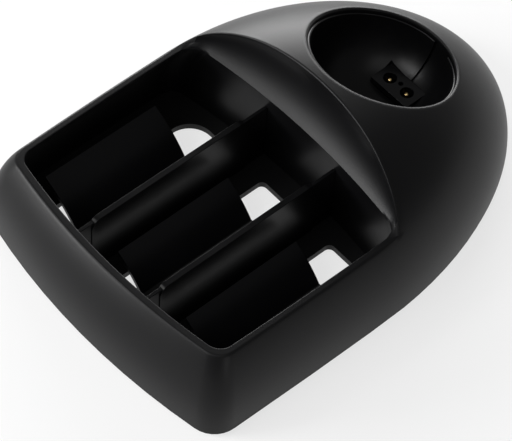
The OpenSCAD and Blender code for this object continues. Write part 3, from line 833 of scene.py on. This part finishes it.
# the other pieces: node, its finish and the rounding of its edges in millimetres
edges = {
    "back_wall": ("gloss_tray", 0.2),
    "divider_left": ("gloss_tray", 0.5),
    "divider_right": ("gloss_tray", 0.5),
    "comb_ramp_left": ("matt_ramp", 0.2),
    "comb_ramp_middle": ("matt_ramp", 0.2),
    "comb_ramp_right": ("matt_ramp", 0.2),
    "bottom_cover": ("matt_cover", 0.3),
    "contact_block": ("contact_block", 0.35),
    "contact_pin_left": ("contact_metal", 0.12),
    "contact_pin_right": ("contact_metal", 0.12),
    "lug_left": ("plated_steel", 0.1),
    "lug_right": ("plated_steel", 0.1),
    "lead_left": ("red_lead", 0.15),
    "lead_right": ("black_lead", 0.15),
    "inlet_socket": ("gloss_tray", 0.3),
    "inlet_pin": ("contact_metal", 0.2),
    "screw_front_left": ("plated_steel", 0.15),
    "screw_front_right": ("plated_steel", 0.15),
    "screw_back_left": ("plated_steel", 0.15),
    "screw_back_right": ("plated_steel", 0.15),
    "foot_front_left": ("rubber_foot", 0.3),
    "foot_front_right": ("rubber_foot", 0.3),
    "foot_back_left": ("rubber_foot", 0.3),
    "foot_back_right": ("rubber_foot", 0.3),
}

print("softened pieces")
slots = {"housing": "satin_shell", "well_cup": "gloss_cup"}
for node, (slot, width) in edges.items():
    softened(node, slot, width)
    slots[node] = slot
for node, solid in nodes.items():
    solid.data.materials.clear()
    solid.data.materials.append(finishes[slots[node]])

# floor, lamps and camera; lengths in metres, angles in degrees round the stand from +X
studio = {
    "floorTone": 0.9, "floorReach": 3.0,
    "floorDrop": 0.05,  # millimetres between the feet and the floor
    "glow": 0.7,        # share of the floor that shows plain white, the rest shows its light and shadow
    "world": 0.22,      # even light from all sides
    # turn, height angle, distance, width, height, brightness
    "lamps": {
        "backLeft": (141, 12, 1.1, 1.05, 0.6, 10.5),
        "frontLeft": (234, 14, 1.1, 0.5, 0.34, 21.0),
        "frontTop": (238, 43, 1.0, 0.22, 0.22, 14.0),
        "rightStrip": (-12, 12, 1.0, 0.25, 0.36, 3.0),
        "wellLight": (258, 49, 1.0, 0.28, 0.26, 6.5),
        "byCamera": (-45, 66, 1.3, 0.7, 0.7, 0.9),
    },
    "aim": (0.0, 0.0, 0.02),    # the point that the lamps face
    # the camera's target, its turn, rise and roll in radians, its distance and its lens in millimetres
    "target": (0.009447, -0.021121, 0.016), "turn": 0.782779, "rise": 0.937096,
    "roll": 0.079876, "distance": 0.83921, "lens": 194.015,
}


def makeFloor():
    # a wide round sheet; the camera, mirrors and glass see part of it as plain white
    rows, cols = 13, 96
    turn = np.linspace(0, 2 * math.pi, cols + 1)[:-1]
    reach = studio["floorReach"] * 1000 * np.linspace(0, 1, rows)[:, None] ** 1.5
    points = np.broadcast_arrays(reach * np.cos(turn), reach * np.sin(turn), -studio["floorDrop"])
    floor = newMesh("floor", np.stack(points, -1).reshape(-1, 3), gridFaces(rows, cols, 0, True))
    weld(floor)
    m = Finish("paleFloor", Specular_IOR_Level=0.1)
    tone = studio["floorTone"]
    colour = m.colour(m.noise(3, 2), (tone - 0.006,) * 3, (tone + 0.006,) * 3)
    m.set(Base_Color=colour, Roughness=0.9)
    rays = m.node("ShaderNodeLightPath")
    seen = m.wire(rays, "Is Camera Ray") + m.wire(rays, "Is Glossy Ray")
    seen = seen + m.wire(rays, "Is Transmission Ray")
    white = m.node("ShaderNodeEmission", inputs={"Color": (1, 1, 1, 1), "Strength": 1.0})
    both = {0: seen.clamped() * studio["glow"], 1: m.shader.outputs[0], 2: white.outputs[0]}
    mix = m.node("ShaderNodeMixShader", inputs=both)
    m.join(mix.outputs[0], m.tree.nodes["Material Output"].inputs["Surface"])
    floor.data.materials.append(m.material)


def makeLamp(name, turn, rise, distance, width, height, brightness):
    # a soft box on a sphere round the stand; brightness 1 would look white in a mirror
    data = bpy.data.lights.new(name, "AREA")
    data.shape = "RECTANGLE"
    data.size, data.size_y = width, height
    data.energy = brightness * math.pi * width * height
    lamp = bpy.data.objects.new(name, data)
    bpy.context.scene.collection.objects.link(lamp)
    turn, rise = math.radians(turn), math.radians(rise)
    way = Vector((math.cos(rise) * math.cos(turn), math.cos(rise) * math.sin(turn), math.sin(rise)))
    lamp.location = Vector(studio["aim"]) + way * distance
    lamp.rotation_euler = (-way).to_track_quat("-Z", "Y").to_euler()


def makeCamera():
    # looks down at the target from the front right, rolled a little to the right
    a, e, r = studio["turn"], studio["rise"], studio["roll"]
    ahead = Vector((-math.sin(a) * math.cos(e), math.cos(a) * math.cos(e), -math.sin(e)))
    side = ahead.cross(Vector((0, 0, 1))).normalized()
    up = side.cross(ahead)
    right = side * math.cos(r) + up * math.sin(r)
    above = up * math.cos(r) - side * math.sin(r)
    data = bpy.data.cameras.new("photoCamera")
    data.sensor_width, data.lens = 36.0, studio["lens"]
    data.clip_start, data.clip_end = 0.05, 20.0
    camera = bpy.data.objects.new("photoCamera", data)
    bpy.context.scene.collection.objects.link(camera)
    place = Vector(studio["target"]) - ahead * studio["distance"]
    facing = Matrix((right, above, -ahead)).transposed().to_4x4()
    camera.matrix_world = Matrix.Translation(place) @ facing
    bpy.context.scene.camera = camera


def makeWorld():
    # even white light from all sides
    world = bpy.data.worlds.new("paleStudio")
    world.use_nodes = True
    sky = world.node_tree.nodes["Background"]
    sky.inputs["Color"].default_value = (1, 1, 1, 1)
    sky.inputs["Strength"].default_value = studio["world"]
    bpy.context.scene.world = world


print("floor, lamps, camera, world")
makeFloor()
for name, lamp in studio["lamps"].items():
    makeLamp(name, *lamp)
makeCamera()
makeWorld()
bpy.context.scene.view_settings.view_transform = "Standard"
